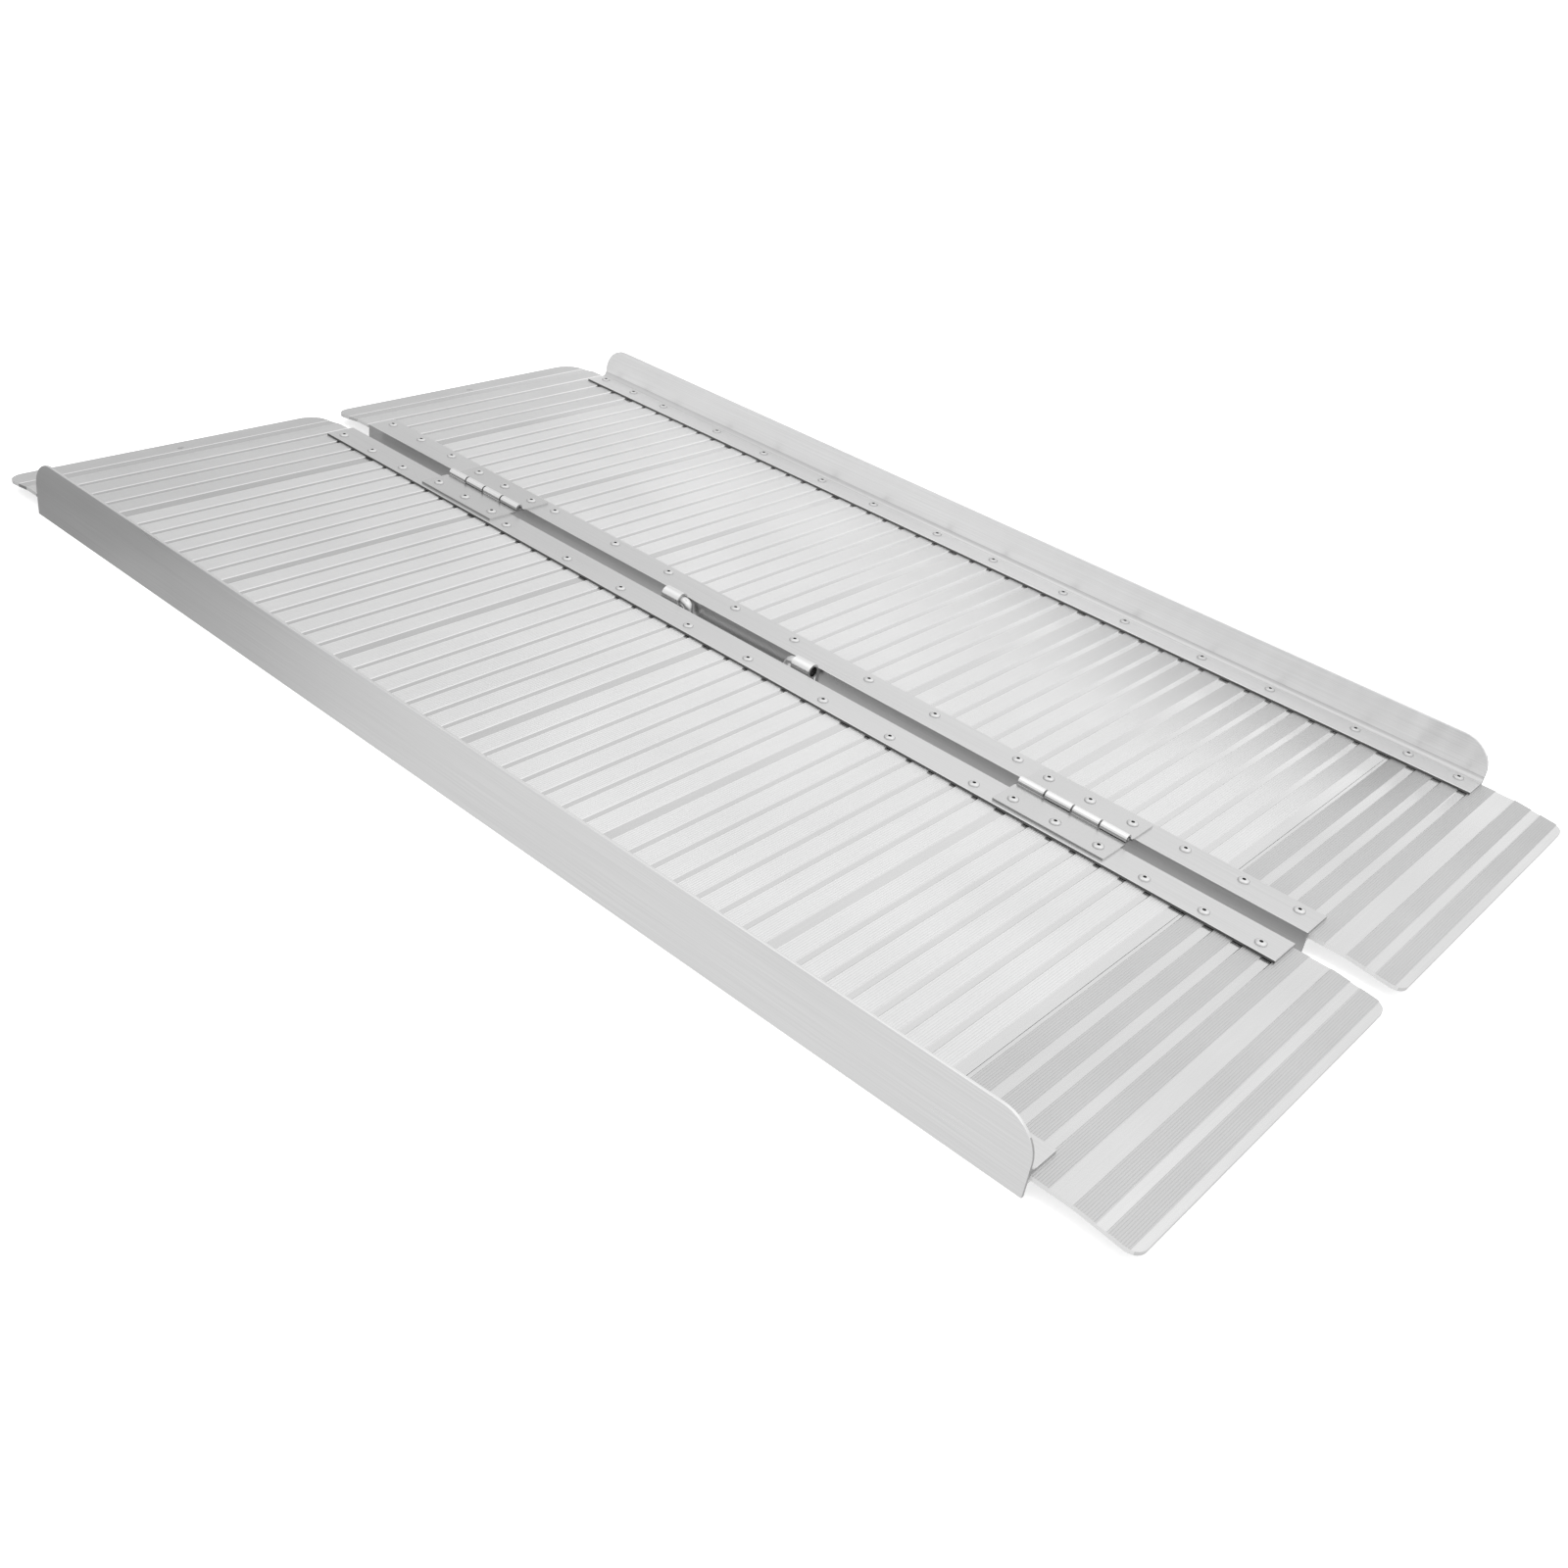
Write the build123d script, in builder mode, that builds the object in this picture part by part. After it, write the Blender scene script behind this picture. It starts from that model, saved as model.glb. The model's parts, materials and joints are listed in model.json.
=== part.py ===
from build123d import *
import math
import os

# Folding loading ramp, a suitcase ramp unfolded flat. Millimetres.
# +X runs along the ramp towards the ground lip, +Y to the right-hand panel, +Z up.
# The origin is at the middle of the bounding box, on the ground.
# Each panel is a deck of crosswise planks riveted under two rails; two butt hinges join the panels.

LEFT = -1
RIGHT = 1

# Overall size
HALF_LENGTH = 610.0
HALF_WIDTH = 349.0
GAP = 19.8  # open slot between the two panels
FLANGE_TOP = 19.0  # rail flanges above the ground
CURB_TOP = 54.0

# Rails
RAIL_START = -546.0
RAIL_END = 536.0
RAIL_LENGTH = RAIL_END - RAIL_START
WALL_T = 2.5
FLANGE_T = 2.3
OUTER_FLANGE_W = 30.0  # from the outer face of the curb
INNER_FLANGE_W = 31.5  # from the face of the web
CURB_CORNER_R = 28.0
CURB_ROOT_R = 5.0
EDGE_R = 0.6
WEB_FACE = GAP / 2
DECK_TOP = FLANGE_TOP - FLANGE_T

# Planks
SEAM_CLEARANCE = 0.3
END_CLEARANCE = 0.2
BAND_W = 16.0
STRIP_W = 5.6
STRIP_DEPTH = 0.5
STRIP_SLOPE = 0.7  # width of a strip's sloping side
BANDS = 7
TEETH = 8
TOOTH_DEPTH = 0.18
GROOVE_SHARE = 0.45  # part of a tooth's pitch taken by its V groove
JOINT_STRIP_W = 9.8
PLANK_PITCH = BANDS * BAND_W + (BANDS - 1) * STRIP_W + JOINT_STRIP_W
PLANKS = 6
FIRST_SEAM = -470.4
PLATE_T = 3.4
PLATE_BOTTOM = DECK_TOP - PLATE_T
RIB_T = 2.2
RIB_BOTTOM = 3.0
RIB_OFFSETS = (50.0, 98.0)
GROOVE_RIB_T = 5.0
TONGUE_L = 2.6
TONGUE_T = 2.0
TONGUE_Z = 8.5
TONGUE_CLEARANCE = 0.15
PLANK_IN = WEB_FACE + FLANGE_T + END_CLEARANCE
PLANK_OUT = HALF_WIDTH - WALL_T - END_CLEARANCE

# Lip planks, measured from the seam towards the lip's edge
GROUND_CORNER_R = 10.0
VEHICLE_CORNER_R = 18.0
LIP_BEND_R = 110.0
GROUND_FIRST_BAND = 3.3
GROUND_BAND_W = 14.7
GROUND_STRIP_W = 8.3
GROUND_OUTER_BAND = 104.0
GROUND_BEND_START = 98.0
GROUND_DROOP = math.radians(6.2)
VEHICLE_FIRST_BAND = 12.0
VEHICLE_BAND_W = 17.4
VEHICLE_STRIP_W = 5.8
VEHICLE_OUTER_BAND = 113.0
VEHICLE_BEND_START = 88.0
VEHICLE_DROOP = math.radians(8.5)
LIP_BANDS = 4  # before the smooth strip at the bend
BEND_STEPS = 6
LIP_OVERRUN = 4.0  # trimmed off by the rounded outline
LIP_RIB_OFFSETS = (34.0, 70.0)
PIN_HOLE_D = 6.5
PIN_HOLE_X = -590.0
PIN_HOLE_Y = 179.5

# Blind rivets
HEAD_R = 4.75
HEAD_H = 1.5
HEAD_RIM = 0.35
MANDREL_R = 1.5
MANDREL_DEPTH = 1.1
SHANK_R = 2.4
HOLE_R = 2.5
BULB_R = 3.7
BULB_L = 4.6
NOTCH_W = 8.4  # notch in a rib round a rivet's bulb
FLANGE_RIVET_OFFSETS = (32.0, 116.5)  # from the seam at the plank's start
OUTER_RIVET_Y = HALF_WIDTH - 14.0
INNER_RIVET_Y = 30.5
VEHICLE_RIVETS_X = (-533.0, -487.0)
GROUND_RIVETS_X = (473.0, 519.0)

# Butt hinges
HINGE_LENGTH = 101.6
HINGE_MIDDLE = -5.0
HINGE_SPREAD = 345.0
LEAF_W = 37.0
LEAF_T = 1.7
BARREL_R = 3.7
PIN_R = 2.0
PIN_BORE_R = 2.05
PIN_ROUND = 0.8
PIN_RECESS = 1.6  # of each end of the pin within the hinge's length
KNUCKLES = 4
KNUCKLE_GAP = 1.6
LEAF_NOTCH = 4.9
LEAF_CORNER_R = 1.2
CURL_SLOT = 0.5
LEAF_RIVET_Y = 25.0
LEAF_RIVET_SPREAD = 39.0
LEAF_TOP = FLANGE_TOP + LEAF_T
HINGE_Z = FLANGE_TOP + BARREL_R

# Carry handle
HANDLE_MIDDLE = -14.5
BRACKET_INNER = 68.0  # from the handle's middle to the facing end of each bracket
BRACKET_W = 20.0
BRACKET_R = 6.8
STRAP_T = 2.4
ROD_R = 4.32
ROD_RECESS = 4.0  # of each end of the rod inside its tube
HANDLE_Y = WEB_FACE - BRACKET_R
HANDLE_Z = FLANGE_TOP - 2.0
HANDLE_DEPTH = 12.2
HANDLE_BEND_R = 6.0
HANDLE_SHOULDER = 8.0  # from a bracket's end to the middle of the bail's leg
TAIL_BOTTOM = 2.0
BRACKET_RIVET_Z = 6.2
BRACKET_RIVET_SPREAD = 5.2
SMALL_HEAD_R = 3.6
SMALL_HEAD_H = 1.2
SMALL_SHANK_R = 1.9
SMALL_HOLE_R = 2.0
SMALL_BULB_R = 2.9
SMALL_BULB_L = 3.4

SEAMS = [FIRST_SEAM + number * PLANK_PITCH for number in range(PLANKS + 1)]
HINGES = {
    "vehicle_end": HINGE_MIDDLE - HINGE_SPREAD,
    "ground_end": HINGE_MIDDLE + HINGE_SPREAD,
}
SIDES = {"left": LEFT, "right": RIGHT}


def save(part, label):
    """Label a finished piece and write it."""
    part.label = label
    export_step(part, f"parts/{label}.step")


def flange_rivets_x():
    """Stations of the rivets along an outer rail: two in every plank."""
    stations = list(VEHICLE_RIVETS_X + GROUND_RIVETS_X)
    for seam in SEAMS[:PLANKS]:
        stations += [seam + offset for offset in FLANGE_RIVET_OFFSETS]
    return sorted(stations)


def inner_rivets_x():
    """Stations along an inner rail, where the hinge leaves take some rivets' places."""
    reach = HINGE_LENGTH / 2 + HEAD_R
    return [x for x in flange_rivets_x() if min(abs(x - middle) for middle in HINGES.values()) > reach]


def leaf_rivets_x(middle):
    """Stations of the three rivets of one hinge leaf."""
    return [middle - LEAF_RIVET_SPREAD, middle, middle + LEAF_RIVET_SPREAD]


def deck_holes(side):
    """Centres of every rivet hole through one panel's deck."""
    holes = [(x, side * OUTER_RIVET_Y) for x in flange_rivets_x()]
    return holes + inner_holes(side)


def inner_holes(side):
    """Centres of the rivet holes through one inner rail."""
    holes = [(x, side * INNER_RIVET_Y) for x in inner_rivets_x()]
    for middle in HINGES.values():
        holes += [(x, side * LEAF_RIVET_Y) for x in leaf_rivets_x(middle)]
    return holes


def deck_holes_between(side, low, high):
    """Rivet hole centres on the deck from low to high along the ramp."""
    return [(x, y, DECK_TOP) for x, y in deck_holes(side) if low < x < high]


def rib_notches(side, low, high):
    """Places on the plate's underside where a rib gives way to a rivet's bulb."""
    reached = [(x, y) for x, y in deck_holes(side) if low - NOTCH_W < x < high + NOTCH_W]
    return [(x, y, PLATE_BOTTOM) for x, y in reached]


# Deck sections, drawn as (along, height) points of the top surface


def serrated_band(start, width):
    """Raised band with V grooves, starting at start."""
    pitch = width / TEETH
    points = [(start, 0)]
    for tooth in range(TEETH):
        middle = start + (tooth + 0.5) * pitch
        half_groove = GROOVE_SHARE * pitch / 2
        points += [(middle - half_groove, 0), (middle, -TOOTH_DEPTH), (middle + half_groove, 0)]
    return points + [(start + width, 0)]


def smooth_strip(start, end, start_slope=STRIP_SLOPE, end_slope=STRIP_SLOPE):
    """Smooth recessed strip from start to end; its sides slope, except at a plank's own edge."""
    return [(start + start_slope, -STRIP_DEPTH), (end - end_slope, -STRIP_DEPTH)]


def bands_with_strips(start, band_width, strip_width, bands):
    """A row of bands with a strip between each two."""
    points = []
    for band in range(bands):
        here = start + band * (band_width + strip_width)
        points += serrated_band(here, band_width)
        if band < bands - 1:
            points += smooth_strip(here + band_width, here + band_width + strip_width)
    return points


def bend_down(points, bend_start, droop):
    """Carry (along, height) points over a bend of radius LIP_BEND_R that turns down by droop."""
    bent = []
    for along, height in points:
        turned = min(max(along - bend_start, 0), LIP_BEND_R * droop) / LIP_BEND_R
        straight = along - bend_start - turned * LIP_BEND_R
        radius = LIP_BEND_R + height
        x = bend_start + radius * math.sin(turned) + straight * math.cos(turned)
        z = radius * math.cos(turned) - LIP_BEND_R - straight * math.sin(turned)
        bent.append((x, DECK_TOP + z))
    return bent


def rib(x, thickness=RIB_T):
    """Rib under the plate, centred at x."""
    with Locations((x, (PLATE_BOTTOM + RIB_BOTTOM) / 2)):
        Rectangle(thickness, PLATE_BOTTOM - RIB_BOTTOM)


def grooved_end(x):
    """Thick rib at the start of a plank, with the groove for its neighbour's tongue."""
    rib(x + GROOVE_RIB_T / 2, GROOVE_RIB_T)
    with Locations((x + TONGUE_L / 2, TONGUE_Z)):
        Rectangle(TONGUE_L, TONGUE_T + 2 * TONGUE_CLEARANCE, mode=Mode.SUBTRACT)


def tongued_end(x):
    """Rib at the end of a plank, with its tongue."""
    rib(x - RIB_T / 2)
    with Locations((x + TONGUE_L / 2 - TONGUE_CLEARANCE, TONGUE_Z)):
        Rectangle(TONGUE_L, TONGUE_T)


def section_plane(side):
    """Plane of a plank's section, at its inner end."""
    return Plane.XZ.offset(-side * PLANK_IN)


def plank_top():
    """Seven bands with six strips between them, then the wider strip beside the seam."""
    bands_end = BANDS * BAND_W + (BANDS - 1) * STRIP_W
    bands = bands_with_strips(0, BAND_W, STRIP_W, BANDS)
    return bands + smooth_strip(bands_end, PLANK_PITCH - SEAM_CLEARANCE, end_slope=0)


def plank(label, side, seam):
    """One crosswise deck plank."""
    top = [(seam + along, DECK_TOP + height) for along, height in plank_top()]
    end = seam + PLANK_PITCH - SEAM_CLEARANCE
    with BuildPart() as board:
        with BuildSketch(section_plane(side)):
            with BuildLine():
                Polyline(*top, (end, PLATE_BOTTOM), (seam, PLATE_BOTTOM), close=True)
            make_face()
            for offset in RIB_OFFSETS:
                rib(seam + offset)
            grooved_end(seam)
            tongued_end(end)
        extrude(amount=-side * (PLANK_OUT - PLANK_IN))
        with Locations(*deck_holes_between(side, seam, end)):
            Hole(HOLE_R)
        below = (Align.CENTER, Align.CENTER, Align.MAX)
        with Locations(*rib_notches(side, seam, end)):
            Box(NOTCH_W, NOTCH_W, PLATE_BOTTOM, align=below, mode=Mode.SUBTRACT)
    save(board.part, label)


def lip_outline(top, seam, towards, bend_start, droop):
    """Outline of a lip plank's plate; towards is +1 or -1 along the ramp."""
    end = top[-1][0]
    stations = [bend_start + LIP_BEND_R * droop * step / BEND_STEPS for step in range(BEND_STEPS + 1)]
    bottom = [(along, -PLATE_T) for along in [0, *stations, end]]
    return [(seam + towards * x, z) for x, z in bend_down(top + bottom[::-1], bend_start, droop)]


def lip(label, side, seam, towards, outline, corner_r, end_profile, holes):
    """End plank whose plate runs past the rails, turns down and has rounded corners."""
    lip_start = seam - towards * 2 * TONGUE_L
    lip_end = towards * HALF_LENGTH
    with BuildPart() as board:
        with BuildSketch(section_plane(side)):
            with BuildLine():
                Polyline(*outline, close=True)
            make_face()
            for offset in LIP_RIB_OFFSETS:
                rib(seam + towards * offset)
            end_profile(seam)
        extrude(amount=-side * (PLANK_OUT - PLANK_IN))
        with BuildSketch():
            with Locations(((lip_start + lip_end) / 2, side * (PLANK_IN + PLANK_OUT) / 2)):
                Rectangle(abs(lip_end - lip_start), PLANK_OUT - PLANK_IN)
            fillet(vertices().group_by(Axis.X)[-1 if towards > 0 else 0], corner_r)
        extrude(amount=CURB_TOP, mode=Mode.INTERSECT)
        for radius, places in holes.items():
            with Locations(*places):
                Hole(radius)
    save(board.part, label)


def ground_lip(label, side):
    """Plank at the ground end."""
    seam = SEAMS[PLANKS]
    top = smooth_strip(0, GROUND_FIRST_BAND, start_slope=0)
    top += bands_with_strips(GROUND_FIRST_BAND, GROUND_BAND_W, GROUND_STRIP_W, LIP_BANDS)
    top += smooth_strip(top[-1][0], GROUND_OUTER_BAND)
    top += bands_with_strips(GROUND_OUTER_BAND, GROUND_BAND_W, GROUND_STRIP_W, 2)
    top += smooth_strip(top[-1][0], HALF_LENGTH - seam + LIP_OVERRUN)
    outline = lip_outline(top, seam, 1, GROUND_BEND_START, GROUND_DROOP)
    holes = {HOLE_R: deck_holes_between(side, seam, RAIL_END)}
    lip(label, side, seam, 1, outline, GROUND_CORNER_R, grooved_end, holes)


def vehicle_lip(label, side):
    """Plank at the vehicle end, with a hole for the securing pin."""
    seam = SEAMS[0] - SEAM_CLEARANCE
    top = smooth_strip(0, VEHICLE_FIRST_BAND, start_slope=0)
    top += bands_with_strips(VEHICLE_FIRST_BAND, VEHICLE_BAND_W, VEHICLE_STRIP_W, LIP_BANDS)
    top += smooth_strip(top[-1][0], VEHICLE_OUTER_BAND)
    top += serrated_band(VEHICLE_OUTER_BAND, seam + HALF_LENGTH + LIP_OVERRUN - VEHICLE_OUTER_BAND)
    outline = lip_outline(top, seam, -1, VEHICLE_BEND_START, VEHICLE_DROOP)
    holes = {
        HOLE_R: deck_holes_between(side, RAIL_START, seam),
        PIN_HOLE_D / 2: [(PIN_HOLE_X, side * PIN_HOLE_Y, DECK_TOP)],
    }
    lip(label, side, seam, -1, outline, VEHICLE_CORNER_R, tongued_end, holes)


# Rails


def outer_rail(label, side):
    """Curb, skirt and flange in one extrusion, with the curb's ends rounded off."""
    inner_face = HALF_WIDTH - WALL_T
    flange_w = OUTER_FLANGE_W - WALL_T
    corner_start = CURB_TOP - CURB_CORNER_R
    with BuildPart() as rail:
        with BuildSketch(Plane.YZ.offset(RAIL_START)):
            with Locations((side * (HALF_WIDTH - WALL_T / 2), corner_start / 2)):
                Rectangle(WALL_T, corner_start)
            with Locations((side * (inner_face - flange_w / 2), FLANGE_TOP - FLANGE_T / 2)):
                Rectangle(flange_w, FLANGE_T)
            root = vertices().sort_by_distance((side * inner_face, FLANGE_TOP))[0]
            fillet(root, CURB_ROOT_R)
            flange_edge = vertices().sort_by_distance((side * (inner_face - flange_w), FLANGE_TOP))[0]
            fillet(flange_edge, EDGE_R)
        extrude(amount=RAIL_LENGTH)
        with BuildSketch(Plane.XZ.offset(-side * inner_face)):
            with Locations(((RAIL_START + RAIL_END) / 2, CURB_TOP / 2)):
                Rectangle(RAIL_LENGTH, CURB_TOP)
            fillet(vertices().group_by(Axis.Y)[-1], CURB_CORNER_R)
        extrude(amount=-side * WALL_T)
        fillet(edges().filter_by(Axis.X).group_by(Axis.Z)[-1], EDGE_R)
        with Locations(*[(x, side * OUTER_RIVET_Y, FLANGE_TOP) for x in flange_rivets_x()]):
            Hole(HOLE_R)
    save(rail.part, label)


def inner_rail(label, side):
    """Angle along the gap: a flange on the deck and a web down to the ground."""
    with BuildPart() as rail:
        with BuildSketch(Plane.YZ.offset(RAIL_START)):
            with Locations((side * (WEB_FACE + FLANGE_T / 2), FLANGE_TOP / 2)):
                Rectangle(FLANGE_T, FLANGE_TOP)
            with Locations((side * (WEB_FACE + INNER_FLANGE_W / 2), FLANGE_TOP - FLANGE_T / 2)):
                Rectangle(INNER_FLANGE_W, FLANGE_T)
            fillet(vertices().group_by(Axis.Y)[-1], EDGE_R)
        extrude(amount=RAIL_LENGTH)
        with Locations(*[(x, y, FLANGE_TOP) for x, y in inner_holes(side)]):
            Hole(HOLE_R)
        if side == RIGHT:
            with BuildSketch(Plane.XZ.offset(-side * WEB_FACE)):
                with Locations(*bracket_rivet_points()):
                    Circle(SMALL_HOLE_R)
            extrude(amount=-side * FLANGE_T, mode=Mode.SUBTRACT)
    save(rail.part, label)


# Rivets


def blind_rivet(head_r, head_h, shank_r, bulb_r, bulb_l, grip):
    """Set blind rivet: domed head above z=0, grip and pulled-up bulb below it."""
    with BuildPart() as rivet:
        with BuildSketch(Plane.XZ):
            with BuildLine():
                Polyline((MANDREL_R, head_h), (MANDREL_R, head_h - MANDREL_DEPTH), (0, head_h - MANDREL_DEPTH))
                Line((0, head_h - MANDREL_DEPTH), (0, -grip - bulb_l))
                Polyline((0, -grip - bulb_l), (shank_r, -grip - bulb_l), (bulb_r, -grip - bulb_l / 2))
                Polyline((bulb_r, -grip - bulb_l / 2), (shank_r, -grip), (shank_r, 0), (head_r, 0), (head_r, HEAD_RIM))
                rise = (head_h - HEAD_RIM) / 2
                ThreePointArc((head_r, HEAD_RIM), ((head_r + MANDREL_R) / 2 + rise / 2, HEAD_RIM + rise * 1.35),
                              (MANDREL_R, head_h))
            make_face()
        revolve(axis=Axis.Z)
    return rivet.part


def rivet_group(label, rivet, places):
    """Identical rivets, each a separate solid, in one piece file."""
    with BuildPart() as group:
        with Locations(*places):
            add(rivet)
    save(group.part, label)


# Butt hinges


def knuckle_start(middle, number):
    """Where a knuckle begins; number counts from the vehicle end."""
    return middle - HINGE_LENGTH / 2 + number * HINGE_LENGTH / KNUCKLES + KNUCKLE_GAP / 2


def hinge_leaf(label, side, middle, first_knuckle):
    """Leaf plate with every second knuckle curled round the pin."""
    with BuildPart() as leaf:
        with BuildSketch(Plane.XY.offset(FLANGE_TOP)):
            with Locations((middle, side * (LEAF_NOTCH + LEAF_W) / 2)):
                Rectangle(HINGE_LENGTH, LEAF_W - LEAF_NOTCH)
            fillet(vertices().group_by(Axis.Y)[-1 if side > 0 else 0], LEAF_CORNER_R)
        extrude(amount=LEAF_T)
        for number in range(first_knuckle, KNUCKLES, 2):
            with BuildSketch(Plane.YZ.offset(knuckle_start(middle, number))):
                with Locations((0, HINGE_Z)):
                    Circle(BARREL_R)
                with Locations((side * LEAF_NOTCH / 2, FLANGE_TOP + LEAF_T / 2)):
                    Rectangle(LEAF_NOTCH, LEAF_T)
                with Locations((0, HINGE_Z)):
                    Circle(PIN_BORE_R, mode=Mode.SUBTRACT)
                with Locations((side * BARREL_R, LEAF_TOP + CURL_SLOT / 2)):
                    Rectangle(BARREL_R, CURL_SLOT, mode=Mode.SUBTRACT)
            extrude(amount=HINGE_LENGTH / KNUCKLES - KNUCKLE_GAP)
        with Locations(*[(x, side * LEAF_RIVET_Y, LEAF_TOP) for x in leaf_rivets_x(middle)]):
            Hole(HOLE_R)
    save(leaf.part, label)


def hinge_pin(label, middle):
    """Steel pin, a little shorter than the barrel, with rounded ends."""
    with BuildPart() as pin:
        with BuildSketch(Plane.YZ.offset(middle - HINGE_LENGTH / 2 + PIN_RECESS)):
            with Locations((0, HINGE_Z)):
                Circle(PIN_R)
        extrude(amount=HINGE_LENGTH - 2 * PIN_RECESS)
        fillet(edges().filter_by(GeomType.CIRCLE), PIN_ROUND)
    save(pin.part, label)


# Carry handle


def bracket_starts():
    """Where the two handle brackets begin along the ramp."""
    return {
        "vehicle_side": HANDLE_MIDDLE - BRACKET_INNER - BRACKET_W,
        "ground_side": HANDLE_MIDDLE + BRACKET_INNER,
    }


def bracket_rivet_points():
    """(x, z) centres of the rivets that hold the brackets to the web."""
    middles = [start + BRACKET_W / 2 for start in bracket_starts().values()]
    spread = (-BRACKET_RIVET_SPREAD, BRACKET_RIVET_SPREAD)
    return [(middle + offset, BRACKET_RIVET_Z) for middle in middles for offset in spread]


def handle_bracket(label, start):
    """Strap rolled into a tube, with a tail riveted to the right-hand web."""
    tail_y = WEB_FACE - STRAP_T / 2
    bore_r = BRACKET_R - STRAP_T
    with BuildPart() as bracket:
        with BuildSketch(Plane.YZ.offset(start)):
            with Locations((HANDLE_Y, HANDLE_Z)):
                Circle(BRACKET_R)
            with Locations((tail_y, (HANDLE_Z + TAIL_BOTTOM) / 2)):
                Rectangle(STRAP_T, HANDLE_Z - TAIL_BOTTOM)
            with Locations((HANDLE_Y, HANDLE_Z)):
                Circle(bore_r, mode=Mode.SUBTRACT)
            with Locations((WEB_FACE - STRAP_T - CURL_SLOT / 2, HANDLE_Z - BRACKET_R / 2 - CURL_SLOT)):
                Rectangle(CURL_SLOT, BRACKET_R, mode=Mode.SUBTRACT)
        extrude(amount=BRACKET_W)
        with BuildSketch(Plane.XZ.offset(-WEB_FACE)):
            with Locations(*[(x, z) for x, z in bracket_rivet_points() if start < x < start + BRACKET_W]):
                Circle(SMALL_HOLE_R)
        extrude(amount=STRAP_T, mode=Mode.SUBTRACT)
    save(bracket.part, label)


def carry_handle(label):
    """Round-rod bail whose two ends turn in the brackets."""
    reach = BRACKET_INNER + BRACKET_W - ROD_RECESS
    leg = BRACKET_INNER - HANDLE_SHOULDER
    low = HANDLE_Z - HANDLE_DEPTH
    with BuildPart() as bail:
        with BuildLine(Plane.XZ.offset(-HANDLE_Y)) as route:
            FilletPolyline(
                (HANDLE_MIDDLE - reach, HANDLE_Z),
                (HANDLE_MIDDLE - leg, HANDLE_Z),
                (HANDLE_MIDDLE - leg, low),
                (HANDLE_MIDDLE + leg, low),
                (HANDLE_MIDDLE + leg, HANDLE_Z),
                (HANDLE_MIDDLE + reach, HANDLE_Z),
                radius=HANDLE_BEND_R,
            )
        with BuildSketch(Plane(origin=route.line @ 0, z_dir=route.line % 0)):
            Circle(ROD_R)
        sweep(path=route.line)
        ends = edges().filter_by(GeomType.CIRCLE).group_by(Axis.X)
        fillet(ends[0] + ends[-1], EDGE_R)
    save(bail.part, label)


os.makedirs("parts", exist_ok=True)

FLANGE_GRIP = FLANGE_T + PLATE_T
LEAF_GRIP = LEAF_T + FLANGE_GRIP
WEB_GRIP = STRAP_T + FLANGE_T
flange_rivet = blind_rivet(HEAD_R, HEAD_H, SHANK_R, BULB_R, BULB_L, FLANGE_GRIP)
leaf_rivet = blind_rivet(HEAD_R, HEAD_H, SHANK_R, BULB_R, BULB_L, LEAF_GRIP)
web_rivet = blind_rivet(SMALL_HEAD_R, SMALL_HEAD_H, SMALL_SHANK_R, SMALL_BULB_R, SMALL_BULB_L, WEB_GRIP)

for name, side in SIDES.items():
    for number, seam in enumerate(SEAMS[:PLANKS], start=1):
        plank(f"{name}_plank_{number}", side, seam)
    ground_lip(f"{name}_ground_lip", side)
    vehicle_lip(f"{name}_vehicle_lip", side)
    outer_rail(f"{name}_outer_rail", side)
    inner_rail(f"{name}_inner_rail", side)
    outer_places = [(x, side * OUTER_RIVET_Y, FLANGE_TOP) for x in flange_rivets_x()]
    rivet_group(f"{name}_outer_rail_rivets", flange_rivet, outer_places)
    inner_places = [(x, side * INNER_RIVET_Y, FLANGE_TOP) for x in inner_rivets_x()]
    rivet_group(f"{name}_inner_rail_rivets", flange_rivet, inner_places)
    for end, middle in HINGES.items():
        hinge_leaf(f"{end}_hinge_{name}_leaf", side, middle, 0 if side == RIGHT else 1)
        leaf_places = [(x, side * LEAF_RIVET_Y, LEAF_TOP) for x in leaf_rivets_x(middle)]
        rivet_group(f"{end}_hinge_{name}_rivets", leaf_rivet, leaf_places)

for end, middle in HINGES.items():
    hinge_pin(f"{end}_hinge_pin", middle)

for end, start in bracket_starts().items():
    handle_bracket(f"handle_bracket_{end}", start)
towards_gap = (90, 0, 0)
web_places = [Location((x, WEB_FACE - STRAP_T, z), towards_gap) for x, z in bracket_rivet_points()]
rivet_group("handle_bracket_rivets", web_rivet, web_places)
carry_handle("carry_handle")
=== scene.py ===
import json
import math

import bpy
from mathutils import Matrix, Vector


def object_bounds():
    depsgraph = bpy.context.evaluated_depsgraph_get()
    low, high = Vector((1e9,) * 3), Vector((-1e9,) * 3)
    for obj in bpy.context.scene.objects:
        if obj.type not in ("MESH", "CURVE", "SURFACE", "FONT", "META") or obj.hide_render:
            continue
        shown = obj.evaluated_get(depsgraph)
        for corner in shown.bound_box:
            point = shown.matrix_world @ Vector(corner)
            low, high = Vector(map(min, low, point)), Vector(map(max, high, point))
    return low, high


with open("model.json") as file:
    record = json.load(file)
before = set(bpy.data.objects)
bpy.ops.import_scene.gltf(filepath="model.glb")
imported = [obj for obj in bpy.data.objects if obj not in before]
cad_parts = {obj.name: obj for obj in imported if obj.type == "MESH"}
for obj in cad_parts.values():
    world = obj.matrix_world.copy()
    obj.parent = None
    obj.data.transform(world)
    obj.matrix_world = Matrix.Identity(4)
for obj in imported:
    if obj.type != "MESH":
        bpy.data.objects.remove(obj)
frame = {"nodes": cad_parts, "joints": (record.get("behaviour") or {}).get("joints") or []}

# Looks, light and camera for the folding loading ramp. Metres, in the CAD's frame:
# +X points at the ground end, +Y at the right-hand panel and +Z up.

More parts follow.
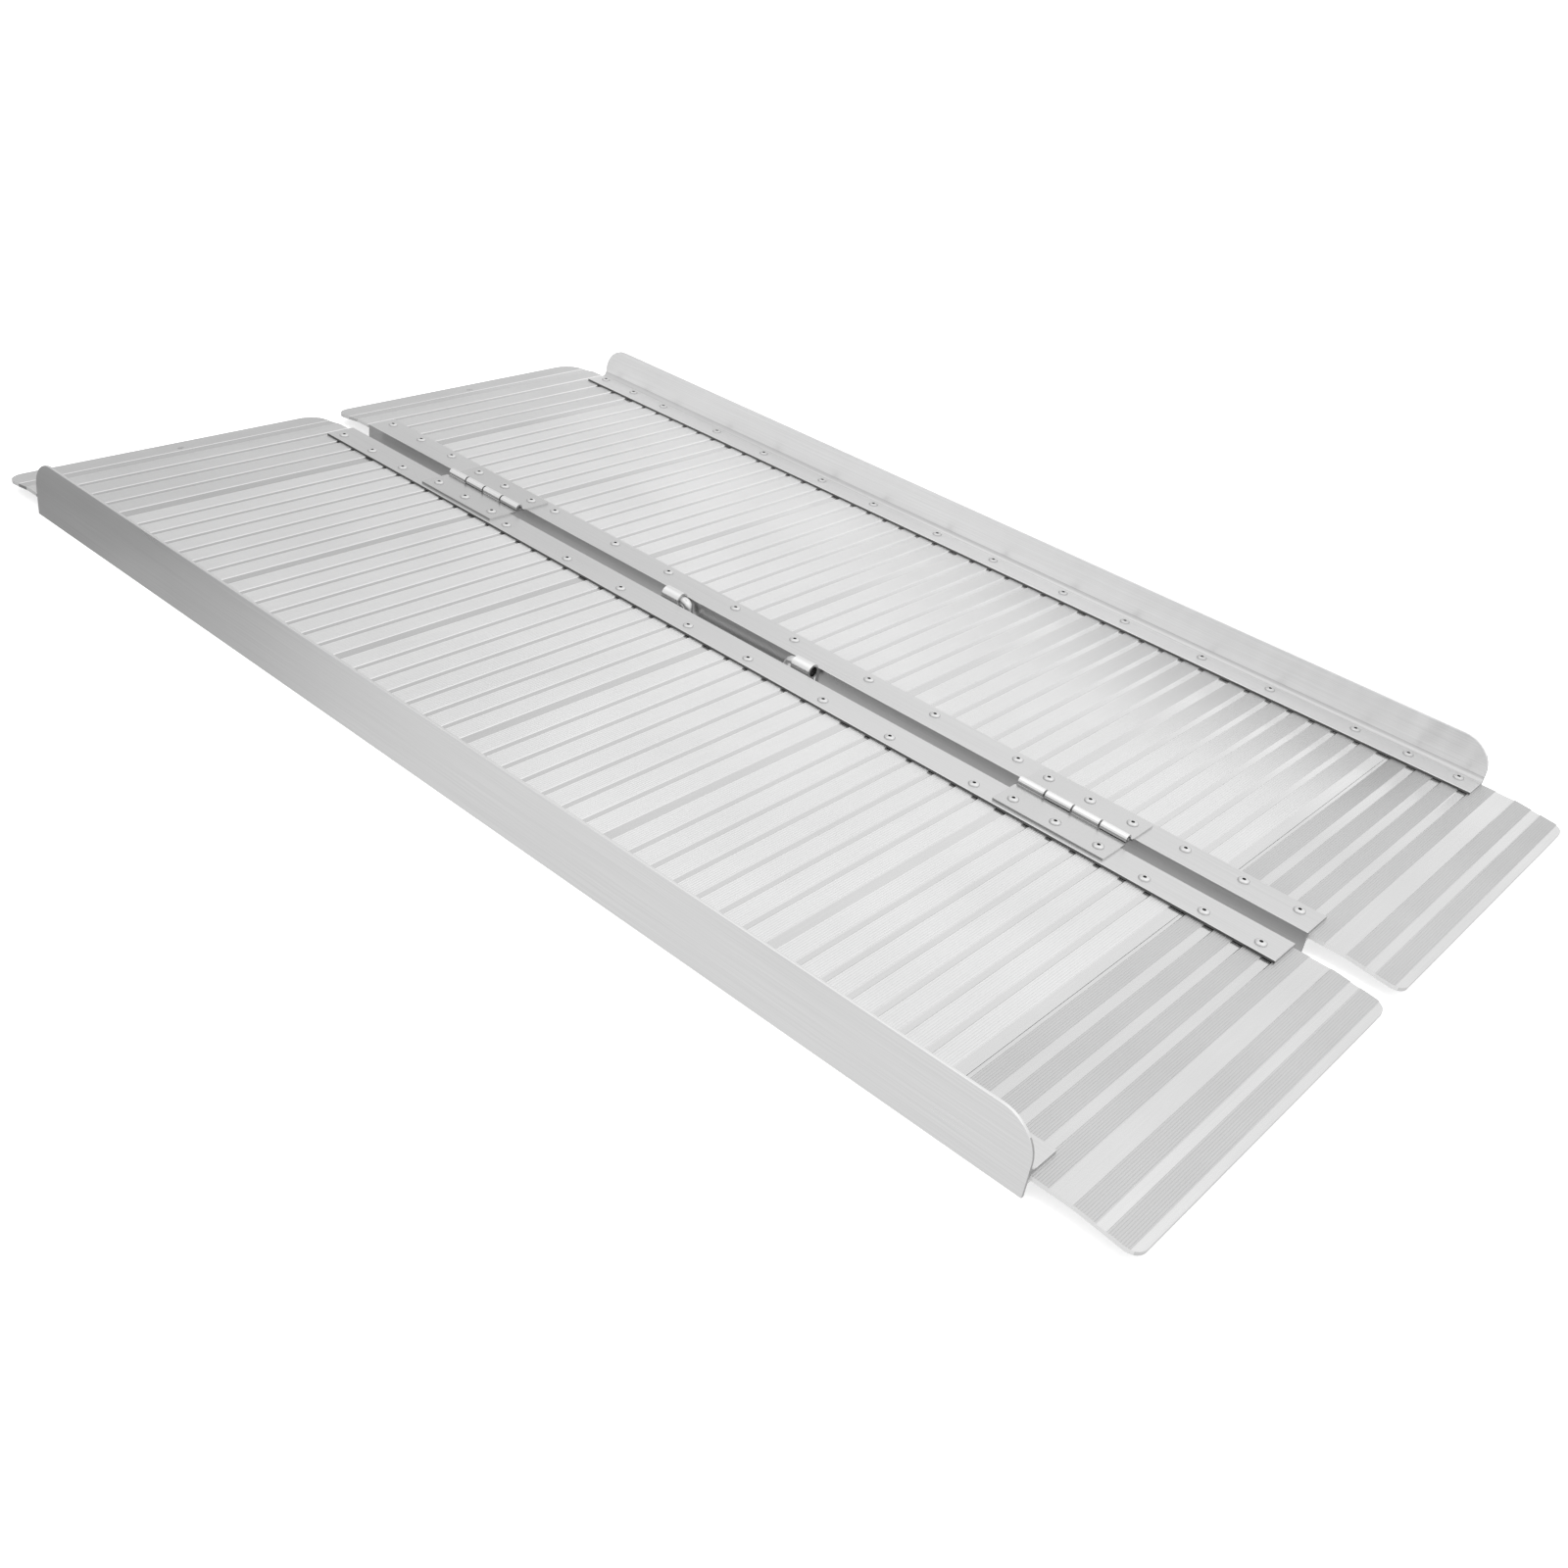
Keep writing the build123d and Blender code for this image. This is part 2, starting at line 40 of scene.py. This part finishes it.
CAD_LOW, CAD_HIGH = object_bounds()
NODES = frame["nodes"]
HANDLE_AXIS = Vector(next(joint["pos_m"] for joint in frame["joints"] if joint["name"] == "handle_turn"))

# Ribbed bands along the ramp, as on the planks and lips
PLANK_PITCH = 0.1554
FIRST_SEAM = -0.4704
BAND_W = 0.016
BAND_PITCH = 0.0216
BANDS_W = 0.1456
LIP_BANDS_W = 0.0867
GROUND_BANDS_FROM = 0.4653
GROUND_BAND_W = 0.0147
GROUND_BAND_PITCH = 0.023
GROUND_OUTER_FROM = 0.566
VEHICLE_BANDS_FROM = -0.4827
VEHICLE_BAND_W = 0.0174
VEHICLE_BAND_PITCH = 0.0232
VEHICLE_OUTER_FROM = -0.5837

# Distances from the ramp's middle, across it
STRAP_FACE = 0.0075
SLOT_FACE = 0.0125
FLANGE_EDGE = 0.0412
OUTER_FLANGE_EDGE = 0.3193
CURB_FOOT = 0.3405

# Heights
SLOT_TOP = 0.0185
FLANGE_TOP = 0.0190
FLANGE_TOP_LIMIT = FLANGE_TOP + 0.0003
LEAF_TOP = 0.0207
LEAF_PLATE_LIMIT = LEAF_TOP - 0.0002
KNUCKLE_FROM = LEAF_TOP + 0.0001
CURB_FOOT_TOP = 0.0242

# The carry handle
TUBE_BORE_R = 0.0046
ROD_END = 0.0800  # beyond this distance from the handle's middle the rod is inside a tube

# A rivet's head, from its foot outwards
RIM = (-0.0001, 0.0008)
RECESS_FLOOR = (0.00005, 0.0005)
RECESS_WALL_FROM = 0.00045

# A face's normal, as its part along one axis
UPRIGHT = 0.4
UNDERSIDE = -0.2
FLAT_TOP = 0.9
CURB_FILLET = (0.1, 0.97)
KNUCKLE_UNDER = 0.25
TUBE_UNDER = -0.1
RECESS_WALL = 0.3
RECESS_FLOOR_FLAT = 0.97

# Where painted shade and painted light change along the ramp, or for FAR_SIDE across it: start and end of
# the change
FAR_SIDE = (0.12, 0.33)
FAR_BANDS_GROW = (-0.2, 0.42)
FAR_GROUND_END = (0.45, 0.52)
FLANGE_END = (0.15, 0.5)
PAINTED_SHADE_RAMP = (-0.62, -0.1)
PAINTED_SHADE_SLANT = 0.6

# Tones of places that differ from the rest of their piece, nearly all of them painted shade and painted
# light
SIDE_PAINTED_HIGHLIGHT = 0.98
UNDERSIDE_GREY = 0.72
SLOT_PAINTED_SHADE_GREY = 0.52
KNUCKLE_PAINTED_HIGHLIGHT_GREY = 0.95
FAR_BANDS_PAINTED_SHADE = 0.76
FAR_STRIPS_PAINTED_LIGHT = 1.2
FAR_GROUND_END_SHARE = 0.3
PAINTED_VEHICLE_END_SHADE = 0.85
OUTER_FLANGE_END_SHADE = 0.86
INNER_FLANGE_END_SHADE = 0.92
FLANGE_EDGE_SHADE = 0.16
CURB_FOOT_SHADE = 0.76
SAWN_SHADE = 0.6
LEAF_EDGE_SHADE = 0.45
LEAF_END_SHADE = 0.85
KNUCKLE_UNDER_SHADE = 0.5
TUBE_UNDER_SHADE = 0.35
TUBE_END_SHADE = 0.55
BORE_SHADE = 0.25
RIM_SHADE = 0.7
RECESS_SHADE = 0.25

# Roughness
BAND_ROUGH = 0.5
STRIP_ROUGH = 0.22
UNDERSIDE_ROUGH = 0.4
RAIL_ROUGH = 0.3
RIVET_ROUGH = 0.34


class Material:
    """A node material on one Principled shader, with short ways to add nodes."""

    def __init__(self, name, roughness, metallic=1.0):
        self.material = bpy.data.materials.new(name)
        self.material.use_nodes = True
        self.tree = self.material.node_tree
        self.shader = self.tree.nodes["Principled BSDF"]
        self.shader.inputs["Roughness"].default_value = roughness
        self.shader.inputs["Metallic"].default_value = metallic
        coordinates = self.tree.nodes.new("ShaderNodeTexCoord").outputs
        self.place = coordinates["Object"]
        self.axes = self.split(self.place)
        self.facing = self.split(coordinates["Normal"])
        self.x, self.y, self.z = self.axes

    def put(self, value, socket):
        """Sets the socket to a value or links it to another node."""
        if isinstance(value, (int, float, tuple)):
            socket.default_value = value
        else:
            self.tree.links.new(value, socket)

    def split(self, vector):
        node = self.tree.nodes.new("ShaderNodeSeparateXYZ")
        self.put(vector, node.inputs[0])
        return node.outputs

    def math(self, operation, *values, clamp=False):
        node = self.tree.nodes.new("ShaderNodeMath")
        node.operation = operation
        node.use_clamp = clamp
        for value, socket in zip(values, node.inputs):
            self.put(value, socket)
        return node.outputs[0]

    def ramp(self, value, start, end, low=0.0, high=1.0, change="SMOOTHSTEP"):
        """low before start, high after end and a gradual change between them."""
        node = self.tree.nodes.new("ShaderNodeMapRange")
        node.interpolation_type = change
        self.put(value, node.inputs["Value"])
        for name, limit in zip(("From Min", "From Max", "To Min", "To Max"), (start, end, low, high)):
            node.inputs[name].default_value = limit
        return node.outputs["Result"]

    def above(self, value, limit):
        """1 where value is more than limit."""
        return self.math("GREATER_THAN", value, limit)

    def below(self, value, limit):
        """1 where value is less than limit."""
        return self.math("LESS_THAN", value, limit)

    def both(self, first, second):
        """1 where both masks are 1."""
        return self.math("MULTIPLY", first, second)

    def between(self, value, low, high):
        """1 where value lies from low to high."""
        return self.both(self.above(value, low), self.below(value, high))

    def looks_along(self, axis, least):
        """1 on faces that look along the axis, either way."""
        return self.above(self.math("ABSOLUTE", self.facing[axis]), least)

    def upright(self):
        """1 on faces that stand upright."""
        return self.between(self.facing["Z"], -UPRIGHT, UPRIGHT)

    def mix(self, share, first, second):
        node = self.tree.nodes.new("ShaderNodeMix")
        self.put(share, node.inputs["Factor"])
        self.put(first, node.inputs["A"])
        self.put(second, node.inputs["B"])
        return node.outputs["Result"]

    def shade(self, grey, mask, share):
        """grey, multiplied by share where the mask is 1."""
        return self.math("MULTIPLY", grey, self.mix(mask, 1.0, share))

    def noise(self, scale, stretch=(1, 1, 1), detail=3.0, low=0.0, high=1.0):
        """Noise from low to high, with its grain stretched by dividing each axis."""
        mapping = self.tree.nodes.new("ShaderNodeMapping")
        mapping.inputs["Scale"].default_value = [scale / s for s in stretch]
        self.put(self.place, mapping.inputs["Vector"])
        node = self.tree.nodes.new("ShaderNodeTexNoise")
        node.inputs["Scale"].default_value = 1.0
        node.inputs["Detail"].default_value = detail
        self.put(mapping.outputs[0], node.inputs["Vector"])
        usual_low, usual_high = 0.3, 0.7
        return self.ramp(node.outputs["Fac"], usual_low, usual_high, low, high, "LINEAR")

    def grey(self, value):
        """Base colour from a grey value."""
        node = self.tree.nodes.new("ShaderNodeCombineColor")
        for channel in node.inputs:
            self.put(value, channel)
        self.put(node.outputs[0], self.shader.inputs["Base Color"])

    def roughness(self, value):
        self.put(value, self.shader.inputs["Roughness"])

    def bump(self, height, depth):
        node = self.tree.nodes.new("ShaderNodeBump")
        node.inputs["Distance"].default_value = depth
        node.inputs["Strength"].default_value = 1.0
        self.put(height, node.inputs["Height"])
        self.put(node.outputs["Normal"], self.shader.inputs["Normal"])

    def stripes(self, start, width, pitch, first, last):
        """1 on every stripe of a row along X, from first to last."""
        along = self.math("FLOORED_MODULO", self.math("SUBTRACT", self.x, start), pitch)
        return self.both(self.below(along, width), self.between(self.x, first, last))


# Deck: planks and lips

def plank_bands(m):
    """1 on the ribbed bands of the six planks."""
    along = m.math("FLOORED_MODULO", m.math("SUBTRACT", m.x, FIRST_SEAM), PLANK_PITCH)
    in_band = m.below(m.math("FLOORED_MODULO", along, BAND_PITCH), BAND_W)
    return m.both(in_band, m.below(along, BANDS_W))


def ground_lip_bands(m):
    """1 on the ribbed bands of the ground lip."""
    inner_from, outer_from = GROUND_BANDS_FROM, GROUND_OUTER_FROM
    inner = m.stripes(inner_from, GROUND_BAND_W, GROUND_BAND_PITCH, inner_from, inner_from + LIP_BANDS_W)
    outer = m.stripes(outer_from, GROUND_BAND_W, GROUND_BAND_PITCH, outer_from, CAD_HIGH.x)
    return m.math("ADD", inner, outer)


def vehicle_lip_bands(m):
    """1 on the ribbed bands of the vehicle lip."""
    last = VEHICLE_BANDS_FROM
    inner = m.stripes(last - VEHICLE_BAND_W, VEHICLE_BAND_W, VEHICLE_BAND_PITCH, last - LIP_BANDS_W, last)
    return m.math("ADD", inner, m.below(m.x, VEHICLE_OUTER_FROM))


def vehicle_end_painted_shade(m):
    """Painted shade: slightly darker metal towards the vehicle end of the left-hand panel."""
    slanted = m.math("ADD", m.x, m.math("MULTIPLY", m.y, PAINTED_SHADE_SLANT))
    return m.ramp(slanted, *PAINTED_SHADE_RAMP, PAINTED_VEHICLE_END_SHADE, 1.0, "LINEAR")


def deck_grey(m, bands, band_grey, strip_grey):
    """Grey bands and strips, with painted shade on the bands and painted light on the strips on the
    right-hand panel's far side, which sets them further apart in tone there.
    """
    across_share = m.ramp(m.y, *FAR_SIDE)
    far_strips = m.both(across_share, m.ramp(m.x, *FAR_GROUND_END, 1.0, FAR_GROUND_END_SHARE))
    far_bands = m.both(far_strips, m.ramp(m.x, *FAR_BANDS_GROW))
    band_grey = m.mix(far_bands, band_grey, band_grey * FAR_BANDS_PAINTED_SHADE)
    strip_grey = m.mix(far_strips, strip_grey, strip_grey * FAR_STRIPS_PAINTED_LIGHT)
    return m.mix(bands, strip_grey, band_grey)


def deck_material(name, find_bands, band_grey, strip_grey):
    """Extruded aluminium with rough ribbed bands and smooth strips."""
    m = Material(name, BAND_ROUGH)
    bands = find_bands(m)
    underside = m.below(m.facing["Z"], UNDERSIDE)
    grey = deck_grey(m, bands, band_grey, strip_grey)
    # Painted highlight on the side faces
    grey = m.mix(m.looks_along("Y", least=0.8), grey, SIDE_PAINTED_HIGHLIGHT)
    grey = m.mix(underside, grey, UNDERSIDE_GREY)
    # Painted shade towards the vehicle end
    grey = m.math("MULTIPLY", grey, vehicle_end_painted_shade(m))
    cloud = m.noise(9.0, detail=4.0, low=0.97, high=1.02)
    drawn = m.noise(900.0, stretch=(1, 60, 1), detail=2.0, low=0.985, high=1.01)
    m.grey(m.math("MULTIPLY", grey, m.math("MULTIPLY", cloud, drawn)))
    rough = m.mix(bands, STRIP_ROUGH, BAND_ROUGH)
    rough = m.mix(underside, rough, UNDERSIDE_ROUGH)
    m.roughness(m.math("MULTIPLY", rough, m.noise(14.0, detail=4.0, low=0.9, high=1.12)))
    m.bump(m.noise(1400.0, stretch=(1, 80, 1), detail=2.0), depth=0.000012)
    return m.material


# Rails

def flange_end(m):
    """1 on the top of the flanges at the ground end, where painted shade goes."""
    top = m.both(m.below(m.z, FLANGE_TOP_LIMIT), m.above(m.facing["Z"], FLAT_TOP))
    return m.both(top, m.ramp(m.x, *FLANGE_END))


def inner_rail_shades(m, grey):
    """Painted shade: dim down in the slot, a little darker on the flange's top at the ground end, with a
    dark edge on the flange.
    """
    across = m.math("ABSOLUTE", m.y)
    slot = m.both(m.below(across, SLOT_FACE), m.below(m.z, SLOT_TOP))
    edge = m.both(m.above(across, FLANGE_EDGE), m.upright())
    grey = m.shade(grey, flange_end(m), INNER_FLANGE_END_SHADE)
    grey = m.mix(slot, grey, SLOT_PAINTED_SHADE_GREY)
    return m.shade(grey, edge, FLANGE_EDGE_SHADE)


def outer_rail_shades(m, grey):
    """Painted shade: darker in the fillet at the curb's foot, a little darker on the flange's top at the
    ground end, with a dark edge on the flange.
    """
    across = m.math("ABSOLUTE", m.y)
    fillet = m.both(m.above(across, CURB_FOOT), m.between(m.facing["Z"], *CURB_FILLET))
    foot = m.both(fillet, m.below(m.z, CURB_FOOT_TOP))
    edge = m.both(m.below(across, OUTER_FLANGE_EDGE), m.upright())
    grey = m.shade(grey, flange_end(m), OUTER_FLANGE_END_SHADE)
    grey = m.shade(grey, foot, CURB_FOOT_SHADE)
    return m.shade(grey, edge, FLANGE_EDGE_SHADE)


def rail_material(name, grey, shades):
    """Extruded aluminium with die lines along the ramp; shades adds painted shade where it is needed."""
    m = Material(name, RAIL_ROUGH)
    tangent = m.tree.nodes.new("ShaderNodeTangent")
    tangent.direction_type = "RADIAL"
    tangent.axis = "X"
    m.put(tangent.outputs[0], m.shader.inputs["Tangent"])
    m.shader.inputs["Anisotropic"].default_value = 0.8
    # Painted shade on the sawn end faces
    grey = m.shade(shades(m, grey), m.looks_along("X", least=0.8), SAWN_SHADE)
    lines = m.noise(1100.0, stretch=(150, 1, 1), low=0.95, high=1.04)
    cloud = m.noise(7.0, stretch=(4, 1, 1), detail=4.0, low=0.96, high=1.03)
    m.grey(m.math("MULTIPLY", grey, m.math("MULTIPLY", lines, cloud)))
    m.roughness(m.noise(10.0, stretch=(3, 1, 1), low=RAIL_ROUGH * 0.88, high=RAIL_ROUGH * 1.12))
    m.bump(m.noise(1500.0, stretch=(200, 1, 1), detail=2.0), depth=0.00002)
    return m.material


# Hinges, handle and rivets

def leaf_shades(m, grey):
    """Painted highlight on the knuckles, with painted shade underneath them; painted shade makes the
    plate's sides dark and its ends slightly darker.
    """
    plate = m.below(m.z, LEAF_PLATE_LIMIT)
    knuckle = m.above(m.z, KNUCKLE_FROM)
    grey = m.mix(knuckle, grey, KNUCKLE_PAINTED_HIGHLIGHT_GREY)
    grey = m.shade(grey, m.both(plate, m.looks_along("Y", least=0.7)), LEAF_EDGE_SHADE)
    grey = m.shade(grey, m.both(plate, m.looks_along("X", least=0.9)), LEAF_END_SHADE)
    under = m.both(knuckle, m.below(m.facing["Z"], KNUCKLE_UNDER))
    return m.shade(grey, under, KNUCKLE_UNDER_SHADE)


def tube_shades(m, grey):
    """Painted shade: dark bore, shaded end rings and underside."""
    across = m.math("POWER", m.math("SUBTRACT", m.y, HANDLE_AXIS.y), 2.0)
    up = m.math("POWER", m.math("SUBTRACT", m.z, HANDLE_AXIS.z), 2.0)
    bore = m.below(m.math("ADD", across, up), TUBE_BORE_R ** 2)
    grey = m.shade(grey, bore, BORE_SHADE)
    grey = m.shade(grey, m.looks_along("X", least=0.9), TUBE_END_SHADE)
    return m.shade(grey, m.below(m.facing["Z"], TUBE_UNDER), TUBE_UNDER_SHADE)


def rod_shades(m, grey):
    """Painted shade where the rod sits inside its tubes."""
    along = m.math("ABSOLUTE", m.math("SUBTRACT", m.x, HANDLE_AXIS.x))
    return m.shade(grey, m.above(along, ROD_END), BORE_SHADE)


def plated_material(name, grey, roughness, shades=None):
    """Zinc plated steel; shades adds painted shade and painted highlights where they are needed."""
    m = Material(name, roughness)
    if shades:
        grey = shades(m, grey)
    m.grey(m.math("MULTIPLY", grey, m.noise(25.0, detail=2.0, low=0.985, high=1.01)))
    return m.material


def rivet_material(name, grey, foot, axis="Z", outward=1):
    """Satin head with painted shade in the mandrel recess and on its rim; foot is where it starts on its
    axis.
    """
    m = Material(name, RIVET_ROUGH)
    height = m.math("MULTIPLY", m.math("SUBTRACT", m.axes[axis], foot), outward)
    out = m.math("MULTIPLY", m.facing[axis], outward)
    wall = m.both(m.above(height, RECESS_WALL_FROM), m.between(out, -RECESS_WALL, RECESS_WALL))
    floor = m.both(m.between(height, *RECESS_FLOOR), m.above(out, RECESS_FLOOR_FLAT))
    grey = m.shade(grey, m.between(height, *RIM), RIM_SHADE)
    m.grey(m.shade(grey, m.math("ADD", wall, floor, clamp=True), RECESS_SHADE))
    return m.material


DECK = deck_material("deck_aluminium", plank_bands, band_grey=0.865, strip_grey=0.79)
GROUND_LIP = deck_material("ground_lip_aluminium", ground_lip_bands, band_grey=0.67, strip_grey=0.78)
VEHICLE_LIP = deck_material("vehicle_lip_aluminium", vehicle_lip_bands, band_grey=0.8, strip_grey=0.79)
# The outer rails are the same aluminium; the left one's lower grey is painted shade
LEFT_OUTER_RAIL = rail_material("left_outer_rail_aluminium", 0.88, outer_rail_shades)
RIGHT_OUTER_RAIL = rail_material("right_outer_rail_aluminium", 0.95, outer_rail_shades)
INNER_RAIL = rail_material("inner_rail_aluminium", 0.81, inner_rail_shades)
FLANGE_RIVET = rivet_material("flange_rivet_aluminium", 0.8, FLANGE_TOP)
LEAF_RIVET = rivet_material("leaf_rivet_aluminium", 0.8, LEAF_TOP)
# The web rivets sit in the slot; their lower grey is painted shade
WEB_RIVET = rivet_material("web_rivet_aluminium", 0.5, STRAP_FACE, "Y", outward=-1)
LEAF = plated_material("leaf_zinc", 0.73, roughness=0.26, shades=leaf_shades)
TUBE = plated_material("tube_zinc", 0.95, roughness=0.28, shades=tube_shades)
ROD = plated_material("rod_zinc", 0.8, roughness=0.3, shades=rod_shades)
# The pin's dark grey is painted shade in the gaps between the knuckles
PIN = plated_material("pin_painted_shade", 0.3, roughness=0.35)

# The first word that is in a node's name decides, so the narrower words stand first
MATERIAL_OF = {
    "ground_lip": GROUND_LIP,
    "vehicle_lip": VEHICLE_LIP,
    "bracket_rivets": WEB_RIVET,
    "rail_rivets": FLANGE_RIVET,
    "rivets": LEAF_RIVET,
    "leaf": LEAF,
    "pin": PIN,
    "handle_bracket": TUBE,
    "carry_handle": ROD,
    "left_outer_rail": LEFT_OUTER_RAIL,
    "right_outer_rail": RIGHT_OUTER_RAIL,
    "inner_rail": INNER_RAIL,
    "plank": DECK,
}

for name, node in NODES.items():
    material = next(material for word, material in MATERIAL_OF.items() if word in name)
    node.data.materials.clear()
    node.data.materials.append(material)


# Floor

FLOOR_SIZE = 60.0
FLOOR_DROP = 0.0005
PAPER_GLOW = 0.5

bpy.ops.mesh.primitive_plane_add(size=FLOOR_SIZE, location=(0, 0, -FLOOR_DROP))
floor = bpy.context.object
floor.name = "floor"
floor.visible_glossy = False
paper = Material("floor_paper", 0.9, metallic=0.0)
paper.grey(paper.noise(3.0, low=0.9, high=0.92))
paper.shader.inputs["Specular IOR Level"].default_value = 0.0
paper.shader.inputs["Emission Color"].default_value = (1, 1, 1, 1)
paper.shader.inputs["Emission Strength"].default_value = PAPER_GLOW
floor.data.materials.append(paper.material)


# Light

SURROUNDINGS = 0.76
# Direction, half angle of its even middle, half angle where it ends, strength
GLOWS = {
    "overhead": ((0.1, -0.1, 1.0), 20.0, 60.0, 0.5),
    "overhead_dim": ((0.0, 0.0, 1.0), 6.0, 30.0, -0.36),
    "far_side": ((0.1, 0.9, 0.42), 12.0, 52.0, 0.17),
    "ground_end": ((1.0, -0.1, 0.3), 15.0, 60.0, 0.09),
    "vehicle_end_dim": ((-1.0, 0.1, 0.4), 10.0, 48.0, -0.12),
    "vehicle_end_shade": ((-0.84, -0.4, -0.37), 0.0, 17.0, -0.6),
}


def world_light():
    """Even studio surroundings with soft glows, and soft shades where the strength is below zero."""
    world = bpy.data.worlds.new("studio")
    bpy.context.scene.world = world
    world.use_nodes = True
    tree = world.node_tree
    background = tree.nodes["Background"]
    background.inputs["Color"].default_value = (1, 1, 1, 1)
    way = tree.nodes.new("ShaderNodeTexCoord").outputs["Generated"]
    total = None
    for direction, inner, outer, strength in GLOWS.values():
        dot = tree.nodes.new("ShaderNodeVectorMath")
        dot.operation = "DOT_PRODUCT"
        dot.inputs[1].default_value = Vector(direction).normalized()
        tree.links.new(way, dot.inputs[0])
        glow = tree.nodes.new("ShaderNodeMapRange")
        glow.interpolation_type = "SMOOTHSTEP"
        glow.inputs["From Min"].default_value = math.cos(math.radians(outer))
        glow.inputs["From Max"].default_value = math.cos(math.radians(inner))
        glow.inputs["To Max"].default_value = strength
        tree.links.new(dot.outputs["Value"], glow.inputs["Value"])
        add = tree.nodes.new("ShaderNodeMath")
        tree.links.new(glow.outputs["Result"], add.inputs[0])
        if total:
            tree.links.new(total, add.inputs[1])
        else:
            add.inputs[1].default_value = SURROUNDINGS
        total = add.outputs[0]
    tree.links.new(total, background.inputs["Strength"])


def paper_softbox():
    """A square light that shines straight down and isn't seen in the metal."""
    data = bpy.data.lights.new("paper_softbox", "AREA")
    data.shape = "SQUARE"
    data.size = 3.0
    data.energy = 60.0
    light = bpy.data.objects.new("paper_softbox", data)
    bpy.context.scene.collection.objects.link(light)
    light.location = (0.0, 0.0, 3.0)
    light.visible_glossy = False


world_light()
paper_softbox()


# Camera, solved from the rails, lips and seams in the photo

camera_data = bpy.data.cameras.new("camera")
camera_data.lens = 38.37
camera_data.clip_end = 100.0
camera = bpy.data.objects.new("camera", camera_data)
bpy.context.scene.collection.objects.link(camera)
camera.location = (0.8104, -1.0150, 0.6814)
camera.rotation_euler = [math.radians(angle) for angle in (57.819, -8.198, 41.416)]
bpy.context.scene.camera = camera
bpy.context.scene.view_settings.view_transform = "Standard"
